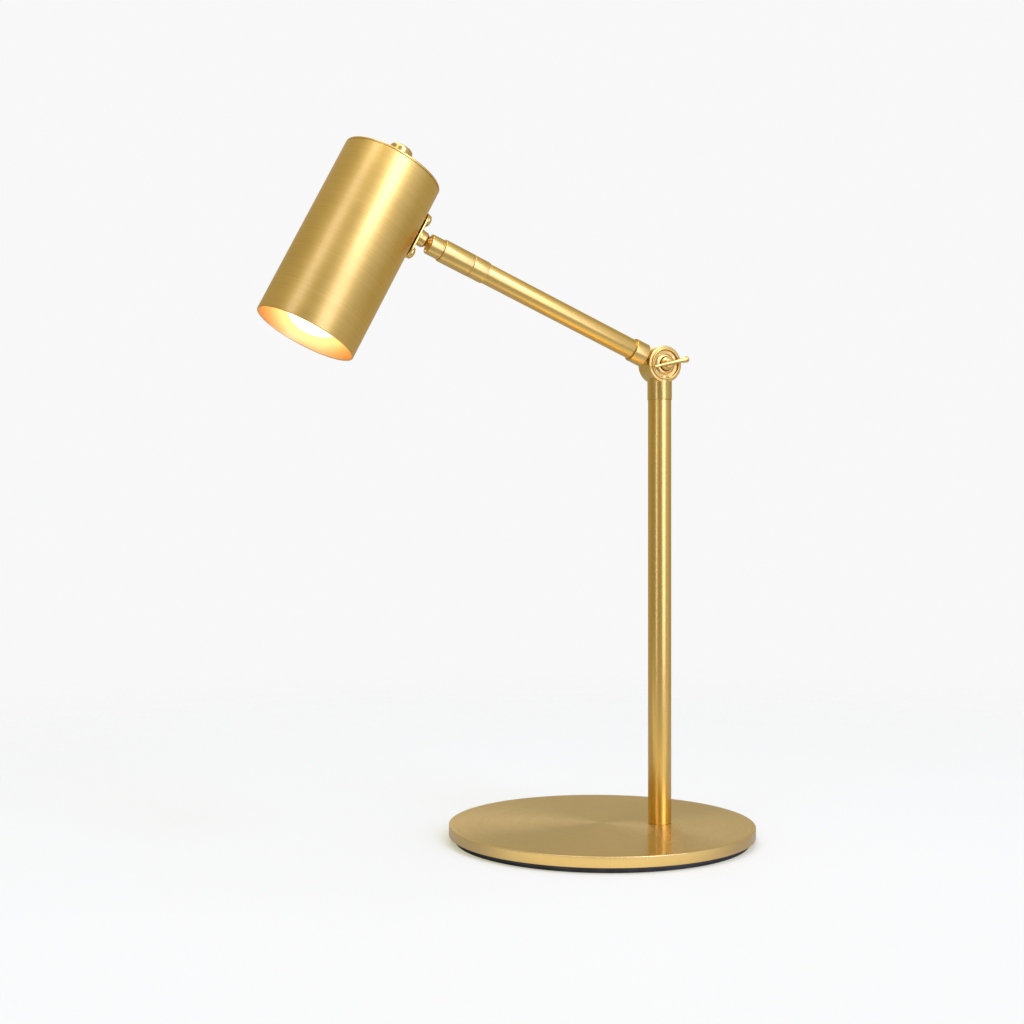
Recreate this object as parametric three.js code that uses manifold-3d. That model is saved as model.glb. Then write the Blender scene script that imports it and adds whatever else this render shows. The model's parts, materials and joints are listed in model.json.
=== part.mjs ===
// Swing arm desk lamp in brushed brass, in millimetres, +Z up.
// The origin is the middle of the underside of the base. +X runs from there towards the post.
// The arm and head hang in nested groups, one for each joint that carries them.

import * as THREE from 'three';
import { mergeVertices } from 'three/addons/utils/BufferGeometryUtils.js';
import Module from 'manifold-3d';

const wasm = await Module();
wasm.setup();

// ---------------------------------------------------------------- driving dimensions

const degrees = Math.PI / 180;
const slip = 0.12;                  // radial clearance of parts that turn in each other
const seat = 0.06;                  // clearance of parts that are fixed to each other

// pose of the joints at rest
const armSwing = 24 * degrees;      // arm turned about the post, towards the front
const armRise = 22.6 * degrees;     // arm above the horizontal
const headTilt = 5.3 * degrees;     // ball stud above the line of the arm

// base
const baseRadius = 92;
const baseTop = 9.7;
const skirtBottom = 3.5;
const coverWall = 1;
const padRadius = 88.5;
const padThickness = 1.8;
const weightEdgeRadius = 90.2;      // the part of the weight that shows below the skirt

// post
const postOffset = 35;              // post axis from the middle of the base
const postRadius = 7;
const postWall = 1;
const postTop = 264.5;

// elbow
const elbowHeight = 285.6;
const drumRadius = 11;
const drumFront = 7;                // front face, measured from the post axis
const drumBack = -7;
const drumSplit = -1.4;             // joint face between the housing and the back plate
const cavityRadius = 8.3;
const cavityFront = 5;
const armOffset = 1.85;             // arm axis in front of the post axis
const screwRadius = 2.5;

// arm, as distances from the elbow axis
const collarStart = 13;
const collarEnd = 21.8;
const ferruleStart = 124.8;
const ferruleEnd = 134.5;
const sleeveEnd = 153.7;
const noseEnd = 162;
const ballDistance = 159.2;
const armRadius = 6;
const armWall = 0.9;
const ballRadius = 4.2;

// head, in the shade's own frame: z = 0 where the stud's line meets the shade's axis
const shadeDistance = 40.9;         // shade axis from the centre of the ball
const shadeRadius = 29;
const shadeWall = 1;
const shadeBottom = -81.7;
const shadeTop = 26;
const capThickness = 1.2;
const plateLength = 28.5;
const plateWidth = 12;
const plateThickness = 1.2;
const bracketScrewSpacing = 20.8;
const leadRadius = 0.8;

// ---------------------------------------------------------------- materials

function finish(color, metalness, roughness) {
  return { color, metalness, roughness };
}

const brushedBrass = finish(0xc8a256, 1, 0.34);
const blackIron = finish(0x151515, 0.4, 0.75);
const rubber = finish(0x101010, 0, 0.85);
const zincSteel = finish(0xa9adb0, 1, 0.35);
const phenolic = finish(0x1b1917, 0, 0.5);
const nylon = finish(0xe6e2d8, 0, 0.5);
const leadSheath = finish(0xd9d4c8, 0, 0.6);
const opalGlass = finish(0xfff4dc, 0, 0.25);
const nickel = finish(0xc9c6bf, 1, 0.3);

// ---------------------------------------------------------------- geometry helpers

// One closed mesh with shared vertices, no empty triangles and its faces pointing out.
function closed(geometry) {
  const bare = geometry.clone();
  bare.deleteAttribute('normal');
  bare.deleteAttribute('uv');
  const merged = mergeVertices(bare, 1e-4);
  const index = merged.index.array;
  const corner = [new THREE.Vector3(), new THREE.Vector3(), new THREE.Vector3()];
  const kept = [];
  let volume = 0;
  for (let i = 0; i < index.length; i += 3) {
    const [a, b, c] = [index[i], index[i + 1], index[i + 2]];
    if (a === b || b === c || c === a) continue;
    kept.push(a, b, c);
    [a, b, c].forEach((vertex, k) => corner[k].fromBufferAttribute(merged.attributes.position, vertex));
    volume += corner[0].dot(corner[1].cross(corner[2]));
  }
  if (volume < 0) kept.reverse();
  merged.setIndex(kept);
  return merged;
}

// A turned shape about Z. Each point is [radius, z], and the outline closes on itself.
function turned(outline, sides = 20) {
  const points = outline.map(([radius, z]) => new THREE.Vector2(radius, z));
  points.push(points[0].clone());
  return closed(new THREE.LatheGeometry(points, sides).rotateX(Math.PI / 2));
}

// A turned shape about the line of the arm. Each point is [radius, distance towards the head].
function turnedAlong(outline, sides = 20) {
  return turned(outline, sides).rotateY(-Math.PI / 2);
}

// A turned shape about the elbow's axis. Each point is [radius, distance towards the front].
function turnedAcross(outline, sides = 20) {
  return turned(outline, sides).rotateX(Math.PI / 2);
}

// A plain ring about Z; with no inner radius it is a disc.
function ring(inner, outer, low, high, sides = 20) {
  return turned([[inner, low], [outer, low], [outer, high], [inner, high]], sides);
}

function box(low, high) {
  const size = high.map((value, axis) => value - low[axis]);
  const middle = high.map((value, axis) => (value + low[axis]) / 2);
  return closed(new THREE.BoxGeometry(...size).translate(...middle));
}

// A hexagonal nut about Z with a round hole.
function nut(acrossFlats, hole, low, high) {
  const shape = new THREE.Shape();
  const corners = 6;
  for (let i = 0; i < corners; i += 1) {
    const angle = i * Math.PI / 3;
    const reach = acrossFlats / Math.sqrt(3);
    shape[i ? 'lineTo' : 'moveTo'](reach * Math.cos(angle), reach * Math.sin(angle));
  }
  shape.closePath();
  const bore = new THREE.Path();
  bore.absarc(0, 0, hole, 0, 2 * Math.PI, true);
  shape.holes.push(bore);
  const solid = new THREE.ExtrudeGeometry(shape, { depth: high - low, bevelEnabled: false, curveSegments: 12 });
  return closed(solid.translate(0, 0, low));
}

// A round bar along a curve.
function wire(curve, radius, steps, sides = 6) {
  const section = new THREE.Shape();
  for (let i = 0; i < sides; i += 1) {
    const angle = i * 2 * Math.PI / sides;
    section[i ? 'lineTo' : 'moveTo'](radius * Math.cos(angle), radius * Math.sin(angle));
  }
  section.closePath();
  return closed(new THREE.ExtrudeGeometry(section, { steps, extrudePath: curve, bevelEnabled: false }));
}

function solidOf(geometry) {
  const mesh = new wasm.Mesh({
    numProp: 3,
    vertProperties: Float32Array.from(geometry.attributes.position.array),
    triVerts: Uint32Array.from(geometry.index.array)
  });
  return new wasm.Manifold(mesh);
}

function geometryOf(solid) {
  const { vertProperties, triVerts } = solid.getMesh();
  const geometry = new THREE.BufferGeometry();
  geometry.setAttribute('position', new THREE.BufferAttribute(Float32Array.from(vertProperties), 3));
  geometry.setIndex(new THREE.BufferAttribute(Uint32Array.from(triVerts), 1));
  return geometry;
}

function join(first, ...others) {
  return geometryOf(others.reduce((solid, other) => solid.add(solidOf(other)), solidOf(first)));
}

function cut(first, ...tools) {
  return geometryOf(tools.reduce((solid, tool) => solid.subtract(solidOf(tool)), solidOf(first)));
}

// Adds a named piece to a group.
function piece(parent, name, geometry, material) {
  const mesh = new THREE.Mesh(geometry, new THREE.MeshStandardMaterial(material));
  mesh.name = name;
  parent.add(mesh);
  return mesh;
}

// ---------------------------------------------------------------- nested frames

const lamp = new THREE.Group();
lamp.name = 'swing_arm_desk_lamp';

const post = new THREE.Group();
post.position.x = postOffset;
lamp.add(post);

// The knuckle turns on the post: +X points away from the arm and -Y is its front.
const knuckle = new THREE.Group();
knuckle.position.z = elbowHeight;
knuckle.rotation.z = armSwing;
post.add(knuckle);

const arm = new THREE.Group();
arm.position.y = -armOffset;
arm.rotation.y = armRise;
knuckle.add(arm);

// The stud's frame has its origin in the ball, and the head lies towards -X.
const stud = new THREE.Group();
stud.position.x = -ballDistance;
stud.rotation.y = headTilt;
arm.add(stud);

const head = new THREE.Group();
head.position.x = -shadeDistance;
stud.add(head);

// ---------------------------------------------------------------- base

const glandWidth = 8;
const glandTop = 8.2;
const channelHalf = 3.2;
const channelTop = 7;
const pocketRadius = 11;
const nippleRadius = 5;
const nippleBore = 3.6;

function makeBase() {
  const coverInside = baseTop - coverWall;
  const edge = 0.5;
  const fine = 48;
  const shell = turned([
    [0, coverInside], [baseRadius - coverWall, coverInside], [baseRadius - coverWall, skirtBottom],
    [baseRadius, skirtBottom], [baseRadius, baseTop - edge], [baseRadius - edge, baseTop], [0, baseTop]
  ], fine);
  const notch = box([-glandWidth / 2 - seat, 80, 0], [glandWidth / 2 + seat, 95, glandTop + seat]);
  const postHole = ring(0, nippleRadius + seat, 0, 12).translate(postOffset, 0, 0);
  piece(lamp, 'base_cover', cut(shell, notch, postHole), brushedBrass);

  const blackEdgeTop = skirtBottom - seat;
  const innerRadius = baseRadius - coverWall - 0.3;
  const slab = turned([
    [0, padThickness + seat], [weightEdgeRadius - 0.4, padThickness + seat],
    [weightEdgeRadius, padThickness + 0.4], [weightEdgeRadius, blackEdgeTop],
    [innerRadius, blackEdgeTop], [innerRadius, coverInside - seat], [0, coverInside - seat]
  ], fine);
  const pocket = ring(0, pocketRadius, 0, channelTop).translate(postOffset, 0, 0);
  const bendY = 27;
  const rearChannel = box([-channelHalf, bendY - channelHalf, 0], [channelHalf, 85.2, channelTop]);
  const reach = Math.hypot(postOffset, bendY);
  const sideChannel = box([0, -channelHalf, 0], [reach, channelHalf, channelTop])
    .rotateZ(Math.atan2(-bendY, postOffset)).translate(0, bendY, 0);
  const glandSeat = box([-glandWidth / 2 - seat, 85, 0], [glandWidth / 2 + seat, 95, 12]);
  piece(lamp, 'base_weight', cut(slab, pocket, rearChannel, sideChannel, glandSeat, postHole), blackIron);
  piece(lamp, 'base_pad', ring(0, padRadius, 0, padThickness, fine), rubber);

  const gland = box([-glandWidth / 2, 85.4, padThickness + 0.2], [glandWidth / 2, baseRadius, glandTop]);
  const glandBore = ring(0, 2.7, 80, 95, 16).rotateX(-Math.PI / 2).translate(0, 0, 5);
  piece(lamp, 'cord_gland', cut(gland, glandBore), rubber);

  piece(post, 'post_nipple', ring(nippleBore, nippleRadius, 4.8, 24), zincSteel);
  piece(post, 'nipple_washer', ring(nippleRadius + seat, 9, 6.3, channelTop - seat), zincSteel);
  piece(post, 'nipple_nut', nut(14, nippleRadius + seat, 4.6, 6.24), zincSteel);
}

// ---------------------------------------------------------------- post

const tubeBore = postRadius - postWall;
const stemRadius = 4;
const stemBore = 2.2;
const stemBottom = postTop - 18.5;
const stopGrooveRadius = 3.1;
const stopHeight = postTop - 7;     // middle of the stop pin and of the groove it runs in

function makePost() {
  const bottom = baseTop + seat;
  piece(post, 'post_tube', ring(tubeBore, postRadius, bottom, postTop, 28), brushedBrass);
  piece(post, 'post_foot_bush', ring(nippleRadius + seat, tubeBore - seat, bottom, 22), brushedBrass);

  const bush = ring(stemRadius + slip, tubeBore - seat, postTop - 14, postTop - 0.2);
  const pinRadius = 0.8;
  const pinHole = ring(0, pinRadius + 0.1, 0, 8, 12).rotateY(Math.PI / 2).translate(0, 0, stopHeight);
  piece(post, 'post_top_bush', cut(bush, pinHole), brushedBrass);
  const pin = ring(0, pinRadius, stopGrooveRadius + 0.2, tubeBore - 0.1, 12).rotateY(Math.PI / 2);
  piece(post, 'swivel_stop_pin', pin.translate(0, 0, stopHeight), zincSteel);

  const underPost = 3.1;
  const bendY = 27;
  const route = new THREE.CatmullRomCurve3([
    new THREE.Vector3(-postOffset, 85, 4.4),
    new THREE.Vector3(-postOffset, 60, 4),
    new THREE.Vector3(-postOffset, bendY + 8, underPost),
    new THREE.Vector3(-postOffset + 6, bendY - 5, underPost),
    new THREE.Vector3(-8, 6.2, underPost),
    new THREE.Vector3(-2.2, 1.7, underPost + 0.1),
    new THREE.Vector3(0, 0, 6.5),
    new THREE.Vector3(0, 0, 14),
    new THREE.Vector3(0, 0, 100),
    new THREE.Vector3(0, 0, stemBottom - 2)
  ], false, 'centripetal');
  piece(post, 'post_lead', wire(route, leadRadius, 64), leadSheath);
}

// ---------------------------------------------------------------- knuckle

const eyeBack = -0.6;               // the arm's eye, measured from the post axis
const eyeFront = 4.3;
const eyeRadius = 7.8;
const slotHalf = 3.1;

function makeKnuckle() {
  const collarRadius = 7.35;
  const collarTop = -10.1;
  const collarBottom = postTop - elbowHeight + seat;
  const bottom = stemBottom - elbowHeight;
  const groove = stopHeight - elbowHeight;
  const grooveHalf = 1.1;
  const stem = turned([
    [stemBore, bottom], [stemRadius, bottom],
    [stemRadius, groove - grooveHalf], [stopGrooveRadius, groove - grooveHalf],
    [stopGrooveRadius, groove + grooveHalf], [stemRadius, groove + grooveHalf],
    [stemRadius, collarBottom], [collarRadius - 0.3, collarBottom], [collarRadius, collarBottom + 0.3],
    [collarRadius, collarTop + 1.5], [stemBore, collarTop + 4.5]
  ], 22);
  const stopRib = box([stopGrooveRadius - 0.3, -0.6, groove - grooveHalf - 0.2],
    [stemRadius - 0.05, 0.6, groove + grooveHalf + 0.2]).rotateZ(Math.PI - armSwing);
  const drum = turnedAcross([
    [0, drumSplit], [drumRadius, drumSplit], [drumRadius, drumFront - 0.4],
    [drumRadius - 0.4, drumFront], [9.5, drumFront], [9.2, drumFront + 1.2], [8.5, drumFront + 1.2],
    [8.2, drumFront - 0.5], [0, drumFront - 0.5]
  ], 22);
  const cavity = turnedAcross([
    [0, drumSplit - 1], [cavityRadius, drumSplit - 1], [cavityRadius, cavityFront], [0, cavityFront]
  ], 22);
  const screwHole = turnedAcross([[0, 0], [screwRadius + slip, 0], [screwRadius + slip, 12], [0, 12]], 24);
  const reach = drumRadius + 2;
  const slot = box([-reach, -cavityFront, slotHalf], [reach, -drumSplit + 1, reach]);
  const slotEnds = turnedAlong([[0, -reach], [slotHalf, -reach], [slotHalf, reach], [0, reach]], 20)
    .translate(0, -armOffset, slotHalf);
  const backSpace = turnedAcross([
    [0, drumBack - 9], [drumRadius + 0.2, drumBack - 9], [drumRadius + 0.2, drumSplit], [0, drumSplit]
  ], 22);
  const leadBore = ring(0, stemBore, bottom - 1, -7, 16);
  const body = cut(join(stem, drum, stopRib), cavity, screwHole, slot, slotEnds, backSpace, leadBore);
  piece(knuckle, 'knuckle_housing', body, brushedBrass);

  const back = turnedAcross([
    [screwRadius + seat, drumBack], [drumRadius - 0.8, drumBack], [drumRadius, drumBack + 0.8],
    [drumRadius, drumSplit - 0.15], [screwRadius + seat, drumSplit - 0.15]
  ], 22);
  piece(knuckle, 'knuckle_back_plate', back, brushedBrass);

  const washerRadius = 7.4;
  const frontWasher = turnedAcross([
    [3, eyeFront + 0.12], [washerRadius, eyeFront + 0.12], [washerRadius, cavityFront - 0.1], [3, cavityFront - 0.1]
  ], 24);
  piece(knuckle, 'friction_washer_front', frontWasher, nylon);
  const rearWasher = turnedAcross([
    [3, drumSplit - 0.05], [washerRadius, drumSplit - 0.05], [washerRadius, eyeBack - 0.12], [3, eyeBack - 0.12]
  ], 24);
  piece(knuckle, 'friction_washer_rear', rearWasher, nylon);

  const domedWasher = turnedAcross([
    [screwRadius + slip, 6.6], [6.2, 6.6], [6.2, 7.1], [5.6, 7.7], [4.6, 7.9],
    [4, 7.5], [screwRadius + slip, 7.5]
  ], 22);
  piece(knuckle, 'clamp_washer', domedWasher, brushedBrass);

  const washerTop = postTop - 14.3 - elbowHeight;
  piece(knuckle, 'swivel_washer', ring(stemRadius + seat, 5.6, washerTop - 0.6, washerTop), zincSteel);
  piece(knuckle, 'swivel_nut', nut(9.6, stemRadius + seat, washerTop - 3.2, washerTop - 0.7), zincSteel);
}

// ---------------------------------------------------------------- wing screw

const barRise = 13.5 * degrees;     // the bar's slope on the face of the knuckle

function makeWingScrew() {
  const wing = new THREE.Group();
  knuckle.add(wing);
  const headRadius = 2.7;
  const barAcross = 12.6;           // bar axis in front of the post axis
  const saddleTop = 12.5;           // the bar lies in a half-round saddle across the screw's end
  const shank = turnedAcross([
    [0, drumBack + 0.4], [2.1, drumBack + 0.4], [screwRadius, drumBack + 0.8], [screwRadius, 8.1],
    [3.9, 8.1], [3.9, 9.2], [3.4, 9.6], [headRadius, 9.7], [headRadius, saddleTop - 0.4], [2.3, saddleTop], [0, saddleTop]
  ], 24);
  const bar = turned([
    [0, -10.9], [0.7, -10.8], [1, -10.2], [1.05, -5], [1.15, 2], [1.35, 8.5],
    [1.75, 10.6], [1.8, 12], [1.4, 12.6], [0, 12.7]
  ], 16).rotateY(Math.PI / 2 - barRise).translate(0, -barAcross, 0);
  const barHole = ring(0, 1.35, -6, 6, 16).rotateY(Math.PI / 2 - barRise).translate(0, -barAcross, 0);
  piece(wing, 'wing_screw', cut(shank, barHole), brushedBrass);
  piece(wing, 'wing_bar', bar, brushedBrass);
}

// ---------------------------------------------------------------- arm

const tubeInside = armRadius - armWall;
const neckRadius = 2;
const neckBore = 1.2;
const stubRadius = 3.9;
const stubBore = 2;
const stubEnd = 140;
const tubeEnd = 130;
const sleeveRadius = 6.6;
const sleeveCavity = 5.4;

function makeArm() {
  const hub = 3.6;
  const rim = 6.6;
  const web = 3.2;
  const eye = turnedAcross([
    [screwRadius + slip, eyeBack], [hub, eyeBack], [hub, web], [rim, web], [rim, eyeBack],
    [eyeRadius, eyeBack], [eyeRadius, eyeFront], [screwRadius + slip, eyeFront]
  ], 22).translate(0, armOffset, 0);
  const window = cut(
    box([0.5, -web + armOffset, -9], [9, -eyeBack + armOffset + 1, 9]),
    turnedAcross([[0, -3], [hub, -3], [hub, 6], [0, 6]], 22).translate(0, armOffset, 0)
  );
  const collar = 7.05;
  const spigotEnd = 34;
  const neck = turnedAlong([
    [0, eyeRadius - 0.8], [neckRadius, eyeRadius - 0.8], [neckRadius, collarStart],
    [collar - 0.4, collarStart], [collar, collarStart + 0.4], [collar, collarEnd - 0.3],
    [collar - 0.3, collarEnd], [tubeInside - seat, collarEnd], [tubeInside - seat, spigotEnd], [0, spigotEnd]
  ], 22);
  const bore = turnedAlong([[0, 4.5], [neckBore, 4.5], [neckBore, 16], [2.2, 18], [2.2, 40], [0, 40]], 16);
  piece(arm, 'elbow_tongue', cut(join(eye, neck), window, bore), brushedBrass);

  const tube = turnedAlong([
    [tubeInside, collarEnd + seat], [armRadius, collarEnd + seat], [armRadius, tubeEnd], [tubeInside, tubeEnd]
  ], 22);
  piece(arm, 'arm_tube', tube, brushedBrass);

  const ferrule = turnedAlong([
    [armRadius + seat, ferruleStart], [6.3, ferruleStart], [6.5, ferruleStart + 0.2],
    [6.5, ferruleEnd - 0.2], [6.3, ferruleEnd], [stubRadius, ferruleEnd], [stubRadius, stubEnd],
    [stubBore, stubEnd], [stubBore, tubeEnd + 0.1], [armRadius + seat, tubeEnd + 0.1]
  ], 22);
  piece(arm, 'arm_ferrule', ferrule, brushedBrass);

  const wallEnd = ferruleEnd + 2.1;  // inner face of the sleeve's end wall
  const washer = [[stubRadius + seat, wallEnd + 0.1], [5.2, wallEnd + 0.1], [5.2, wallEnd + 0.6]];
  piece(arm, 'sleeve_washer', turnedAlong([...washer, [stubRadius + seat, wallEnd + 0.6]], 20), zincSteel);
  const retainer = nut(8.8, stubRadius + seat, wallEnd + 0.7, stubEnd - 0.1).rotateY(-Math.PI / 2);
  piece(arm, 'sleeve_nut', retainer, zincSteel);

  const leadStart = 11;
  const straight = new THREE.LineCurve3(new THREE.Vector3(-leadStart, 0, 0), new THREE.Vector3(-143, 0, 0));
  piece(arm, 'arm_lead', wire(straight, leadRadius, 1), leadSheath);
}

// ---------------------------------------------------------------- turning sleeve and ball seat

const lipPlane = ballDistance + 1.8;
const lipRadius = 3.96;
const spigotRadius = sleeveCavity - seat;
const socketBore = ballRadius + 0.15;

function makeSleeve() {
  const sleeve = new THREE.Group();
  arm.add(sleeve);
  const start = ferruleEnd + 0.1;
  const wall = 2;
  const shell = turnedAlong([
    [stubRadius + slip, start], [sleeveRadius - 0.2, start], [sleeveRadius, start + 0.2],
    [sleeveRadius, sleeveEnd - 0.2], [sleeveRadius - 0.2, sleeveEnd], [sleeveCavity, sleeveEnd],
    [sleeveCavity, start + wall], [stubRadius + slip, start + wall]
  ], 22);
  piece(sleeve, 'swivel_sleeve', shell, brushedBrass);

  const noseRadius = 5.9;
  const spigotStart = 144.5;
  const shoulder = sleeveEnd + seat;
  const nose = turnedAlong([
    [socketBore, spigotStart], [spigotRadius, spigotStart], [spigotRadius, shoulder],
    [noseRadius - 0.1, shoulder], [noseRadius, shoulder + 0.2], [noseRadius, noseEnd - 1.5],
    [noseRadius - 0.25, noseEnd - 0.6], [5.3, noseEnd], [4.9, noseEnd],
    [lipRadius, lipPlane], [lipRadius + 0.24, lipPlane - 0.6], [socketBore, ballDistance]
  ], 22);
  piece(sleeve, 'socket_nose', nose, brushedBrass);

  const inset = socketBore - seat;
  const seatStart = 150;
  const cup = turnedAlong([
    [1.6, seatStart], [inset, seatStart], [inset, 156.5], [3.8, 156.9],
    [3, 156.05], [2.2, 155.45], [1.6, 155.15]
  ], 22);
  piece(sleeve, 'ball_seat', cup, nylon);

  const plugEnd = 146.4;
  const plug = turnedAlong([[2, 144.6], [inset, 144.6], [inset, plugEnd], [2, plugEnd]], 22);
  piece(sleeve, 'preload_plug', plug, brushedBrass);

  const coil = new THREE.Curve();
  const coilWire = 0.32;
  const coilTurns = 3;
  const coilStart = plugEnd + coilWire + 0.1;
  const coilRise = seatStart - plugEnd - 2 * coilWire - 0.2;
  coil.getPoint = (t, target = new THREE.Vector3()) => {
    const angle = t * coilTurns * 2 * Math.PI;
    return target.set(-coilStart - t * coilRise, 3.2 * Math.cos(angle), 3.2 * Math.sin(angle));
  };
  piece(sleeve, 'seat_spring', wire(coil, coilWire, 30, 4), zincSteel);
}

// ---------------------------------------------------------------- ball stud

const studRadius = 2.1;
const studBore = 1.2;
const wallInside = shadeDistance - shadeRadius + shadeWall;   // shade's inner wall, from the ball

function makeBallStud() {
  const arc = [];
  const steps = 10;
  const first = Math.asin(studBore / ballRadius);
  const last = Math.PI - Math.asin(studRadius / ballRadius);
  for (let i = 0; i <= steps; i += 1) {
    const angle = first + (last - first) * i / steps;
    arc.push([ballRadius * Math.sin(angle), -ballRadius * Math.cos(angle)]);
  }
  const end = wallInside + 4.6;
  const ball = turnedAlong([...arc, [studRadius, end], [studBore, end]], 22);
  piece(stud, 'ball_stud', ball, brushedBrass);
  const washer = [[studRadius + seat, wallInside + 0.35], [4.2, wallInside + 0.35], [4.2, wallInside + 0.85]];
  piece(stud, 'stud_washer', turnedAlong([...washer, [studRadius + seat, wallInside + 0.85]], 18), zincSteel);
  const clamp = nut(7, studRadius + seat, wallInside + 0.95, wallInside + 3.9).rotateY(-Math.PI / 2);
  piece(stud, 'stud_nut', clamp, zincSteel);
}

// ---------------------------------------------------------------- bracket on the shade

// Pieces here are placed in the shade's frame: +X points back along the stud towards the ball.
const plateInside = shadeRadius + 0.35;
const plateOutside = plateInside + plateThickness;

// A turned shape about the stud's line. Each point is [radius, distance from the shade's axis].
function turnedOnStud(outline, sides = 20) {
  return turned(outline, sides).rotateY(Math.PI / 2);
}

function makeBracket() {
  const half = plateWidth / 2;
  const straight = plateLength / 2 - half;
  const outline = new THREE.Shape();
  outline.absarc(0, straight, half, 0, Math.PI, false);
  outline.absarc(0, -straight, half, Math.PI, 2 * Math.PI, false);
  outline.closePath();
  for (const [height, radius] of [[0, studRadius + slip], [1, 1.95], [-1, 1.95]]) {
    const hole = new THREE.Path();
    hole.absarc(0, height * bracketScrewSpacing / 2, radius, 0, 2 * Math.PI, true);
    outline.holes.push(hole);
  }
  const settings = { depth: plateThickness, bevelEnabled: false, curveSegments: 12 };
  const flat = new THREE.ExtrudeGeometry(outline, settings);
  const plate = closed(flat.rotateX(Math.PI / 2).rotateZ(Math.PI / 2).translate(plateInside, 0, 0));
  piece(head, 'bracket_plate', plate, brushedBrass);

  const from = (distance) => shadeDistance - distance;   // distance from the ball
  const boss = turnedOnStud([
    [studRadius + slip, plateOutside + seat], [4.9, plateOutside + seat], [4.9, plateOutside + 1.4],
    [4.6, plateOutside + 1.5], [4.6, from(6.2)], [3.9, from(5)], [2.7, from(4.1)], [studRadius + slip, from(3.9)]
  ]);
  piece(head, 'bracket_boss', boss, brushedBrass);

  for (const [side, place] of [['upper', 1], ['lower', -1]]) {
    const height = place * bracketScrewSpacing / 2;
    const screw = turnedOnStud([
      [0, 24.2], [1.7, 24.2], [1.7, plateOutside + seat], [3.6, plateOutside + seat],
      [3.6, plateOutside + 1.2], [2.9, plateOutside + 2.2], [1.6, plateOutside + 2.7], [0, plateOutside + 2.75]
    ], 20);
    const slot = box([plateOutside + 1.7, -0.5, -4], [plateOutside + 4, 0.5, 4]);
    piece(head, `bracket_screw_${side}`, cut(screw, slot).translate(0, 0, height), brushedBrass);
    const backNut = nut(6, 1.7 + seat, 24.6, 27).rotateY(Math.PI / 2);
    piece(head, `bracket_nut_${side}`, backNut.translate(0, 0, height), zincSteel);
  }
}

// ---------------------------------------------------------------- shade, lampholder and bulb

const capBottom = shadeTop - capThickness;
const holderTop = 22.6;
const holderBottom = -12;
const bulbRadius = 22.5;
const bulbInset = 1.6;
const bulbBottom = shadeBottom + bulbInset;
const bulbCentre = bulbBottom + bulbRadius;

function makeShade() {
  const inner = shadeRadius - shadeWall;
  const fine = 36;
  const wall = turned([
    [inner, shadeBottom + 0.3], [inner + 0.3, shadeBottom], [shadeRadius - 0.2, shadeBottom],
    [shadeRadius, shadeBottom + 0.3], [shadeRadius, capBottom - seat], [inner, capBottom - seat]
  ], fine);
  const holes = [[0, studRadius + slip], [1, 1.95], [-1, 1.95]].map(([place, radius]) =>
    turnedOnStud([[0, 20], [radius, 20], [radius, 34], [0, 34]], 20)
      .translate(0, 0, place * bracketScrewSpacing / 2));
  piece(head, 'shade_tube', cut(wall, ...holes), brushedBrass);

  const spigot = 1.8;
  const cap = turned([
    [5.1, capBottom - spigot], [inner - seat, capBottom - spigot], [inner - seat, capBottom],
    [shadeRadius, capBottom], [shadeRadius, shadeTop - 0.3], [shadeRadius - 0.3, shadeTop], [5.1, shadeTop]
  ], fine);
  piece(head, 'shade_cap', cap, brushedBrass);
}

function makeLampholder() {
  const nippleRadiusTop = 5;
  const nipple = ring(3.4, nippleRadiusTop, holderTop - 5.8, shadeTop + 2.4);
  piece(head, 'holder_nipple', nipple, zincSteel);
  piece(head, 'holder_nut', ring(nippleRadiusTop + seat, 6.2, shadeTop + seat, shadeTop + 1.7), brushedBrass);

  const body = turned([
    [8.1, holderBottom], [13, holderBottom], [13, holderTop - 3], [10.5, holderTop - 0.1],
    [nippleRadiusTop + seat, holderTop - 0.1], [nippleRadiusTop + seat, holderTop - 6],
    [3.4, holderTop - 6], [3.4, 9.4], [8.1, 9.4]
  ], 22);
  piece(head, 'lampholder_body', body, phenolic);
  piece(head, 'lampholder_shell', ring(7.3, 8, holderBottom + 1, 9.2), nickel);
  const contact = turned([[0, 6.7], [3.3, 6.7], [3.3, 7.4], [2.2, 7.9], [0, 7.9]], 16);
  piece(head, 'centre_contact', contact, nickel);
}

function makeBulb() {
  const capRadius = 6.9;
  const capTop = 3.2;
  const capLow = -18.5;
  const arc = [];
  const steps = 12;
  const neckRadiusBulb = 8.6;
  const last = Math.PI - Math.asin(neckRadiusBulb / bulbRadius);
  for (let i = 0; i <= steps; i += 1) {
    const angle = last * i / steps;
    arc.push([bulbRadius * Math.sin(angle), bulbCentre - bulbRadius * Math.cos(angle)]);
  }
  const glass = turned([
    ...arc, [8.2, capLow - 10], [capRadius - 0.3, capLow - 0.1], [0, capLow - 0.1]
  ], 22);
  piece(head, 'bulb_glass', glass, opalGlass);
  const screwCap = turned([
    [0, capLow], [capRadius, capLow], [capRadius, capTop], [3.6, capTop + 2], [0, capTop + 2]
  ], 22);
  piece(head, 'bulb_cap', screwCap, nickel);
  const tip = turned([[0, capTop + 2.1], [2.4, capTop + 2.1], [1.6, capTop + 3.3], [0, capTop + 3.3]], 16);
  piece(head, 'bulb_contact', tip, nickel);
}

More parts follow.
